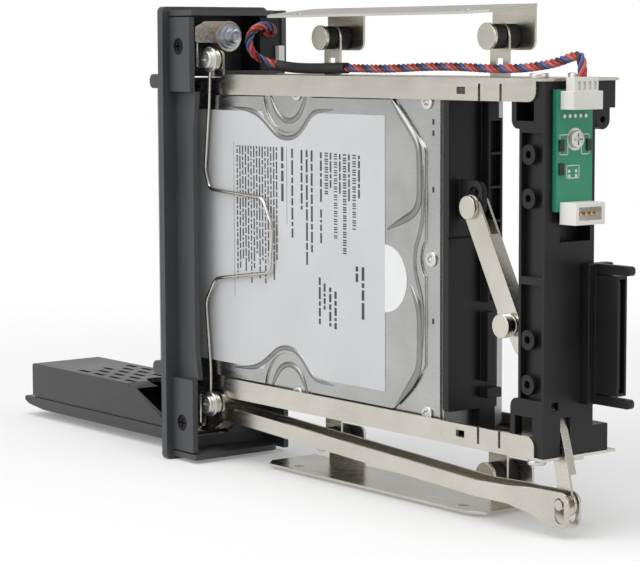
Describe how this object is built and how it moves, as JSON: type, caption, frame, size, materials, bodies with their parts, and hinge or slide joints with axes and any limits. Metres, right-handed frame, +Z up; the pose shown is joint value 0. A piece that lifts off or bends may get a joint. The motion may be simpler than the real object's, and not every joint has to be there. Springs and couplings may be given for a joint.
{
  "type": "hot-swap mobile rack",
  "caption": "Trayless hot-swap rack for a front bay: door, pull rod and bell-crank lever dock a hard drive between two sprung steel rails.",
  "frame": {"origin": "underside of the lower side plate, midway between its two bay screw holes", "axes": "+X from the bezel to the rear connector, +Y away from the drive's label side, +Z up with the rack standing on its side"},
  "size_m": [0.2921, 0.0419, 0.148],
  "materials": {
    "black_plastic": "satin moulded",
    "door_plastic": "fine spark texture",
    "nickel_steel": "bright nickel plate",
    "zinc_screws": "bright zinc plate",
    "black_rubber": "matt",
    "drive_casting": "die cast",
    "drive_cover": "satin",
    "drive_label": "coated paper",
    "green_board": "solder mask",
    "white_nylon": "moulded",
    "lead_insulation": "twisted wires",
    "chip_black": "moulded"
  },
  "bodies": {
    "frame": {"bezel_screws": "zinc_screws", "board_parts": "chip_black", "board_screw": "zinc_screws", "front_bezel": "black_plastic", "hinge_pins": "nickel_steel", "indicator_block": "black_plastic", "indicator_board": "chip_black", "lead_header": "white_nylon", "lead_plug": "white_nylon", "lever_pivot": "nickel_steel", "lock_cylinder": "zinc_screws", "lock_nut": "zinc_screws", "lower_rail": "nickel_steel", "lower_side_plate": "nickel_steel", "mount_discs": "nickel_steel", "rail_front_screws": "zinc_screws", "rail_rear_screws": "zinc_screws", "rear_carrier": "black_plastic", "rear_connector": "black_plastic", "retaining_wire": "nickel_steel", "rubber_bushes": "black_rubber", "signal_board": "green_board", "signal_lead": "lead_insulation", "spare_header": "white_nylon", "upper_rail": "nickel_steel", "upper_side_plate": "nickel_steel"},
    "dock": {"dock_carriage": "black_plastic", "dock_connector": "black_plastic", "drive_base": "drive_casting", "drive_cover": "drive_cover", "drive_label": "drive_label", "drive_board": "green_board", "drive_screws": "zinc_screws", "drive_seal": "drive_label"},
    "lever": {"ejector_lever": "nickel_steel", "dock_pin": "nickel_steel", "rod_pin": "nickel_steel"},
    "rod": {"pull_rod": "nickel_steel"},
    "door": {"door_panel": "door_plastic", "door_housing": "door_plastic", "door_crank": "nickel_steel", "crank_pin": "nickel_steel"},
    "cam": {"lock_cam": "nickel_steel", "cam_screw": "zinc_screws"}
  },
  "joints": [
    {"name": "door_hinge", "type": "hinge", "parent": "frame", "child": "door", "pos_m": [-0.09183, 0, 0.0231], "axis": [0, 1, 0], "range_deg": [0, 90]},
    {"name": "rod_slide", "type": "slide", "parent": "frame", "child": "rod", "axis": [-1, 0, 0], "range_m": [0, 0.0172]},
    {"name": "lever_hinge", "type": "hinge", "parent": "frame", "child": "lever", "pos_m": [0.06648, 0, 0.0567], "axis": [0, 1, 0], "range_deg": [0, 19.64]},
    {"name": "dock_slide", "type": "slide", "parent": "frame", "child": "dock", "axis": [1, 0, 0], "range_m": [0, 0.0117]},
    {"name": "cam_turn", "type": "hinge", "parent": "frame", "child": "cam", "pos_m": [-0.07472, -0.00155, 0.1374], "axis": [1, 0, 0], "range_deg": [0, 90]}
  ],
  "couplings": [
    {"joint": "rod_slide", "follows": "door_hinge", "m_per_rad": 0.01095},
    {"joint": "lever_hinge", "follows": "door_hinge", "ratio": 0.21818},
    {"joint": "dock_slide", "follows": "door_hinge", "m_per_rad": 0.0074484}
  ]
}
